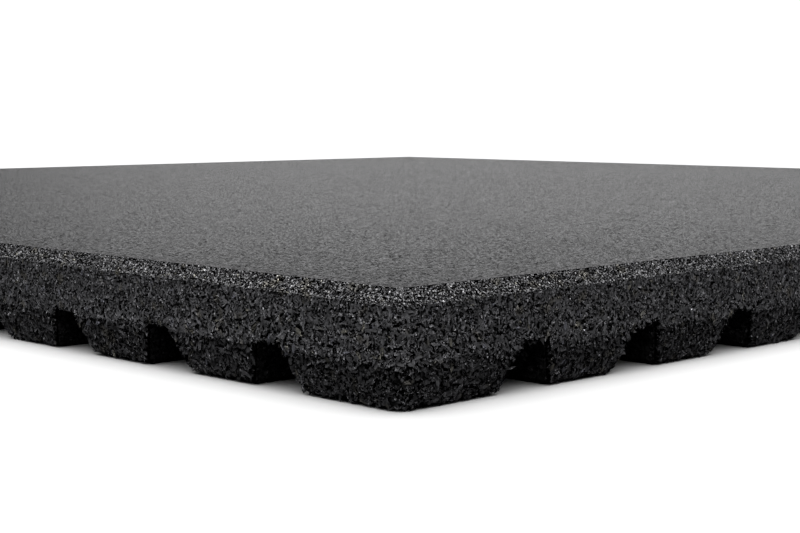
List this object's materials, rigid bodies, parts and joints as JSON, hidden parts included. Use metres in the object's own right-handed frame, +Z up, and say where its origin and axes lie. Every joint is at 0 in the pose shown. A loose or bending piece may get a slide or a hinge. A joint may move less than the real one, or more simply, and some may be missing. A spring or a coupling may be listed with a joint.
{
  "type": "rubber floor tile",
  "caption": "Square floor tile moulded from bonded rubber crumb, with a bevelled rim, upright sides for butting to its neighbours, and square feet parted by drainage channels underneath",
  "frame": {"origin": "centre of the tile in plan, on the floor that its feet stand on", "axes": "+Z up through the thickness; +X and +Y along the sides; the tile is alike on all four sides"},
  "size_m": [1, 1, 0.04],
  "materials": {
    "tile": "black bonded rubber crumb, matt, with faint glints on the shreds"
  },
  "bodies": {
    "root": {"tile": "tile"}
  },
  "joints": []
}
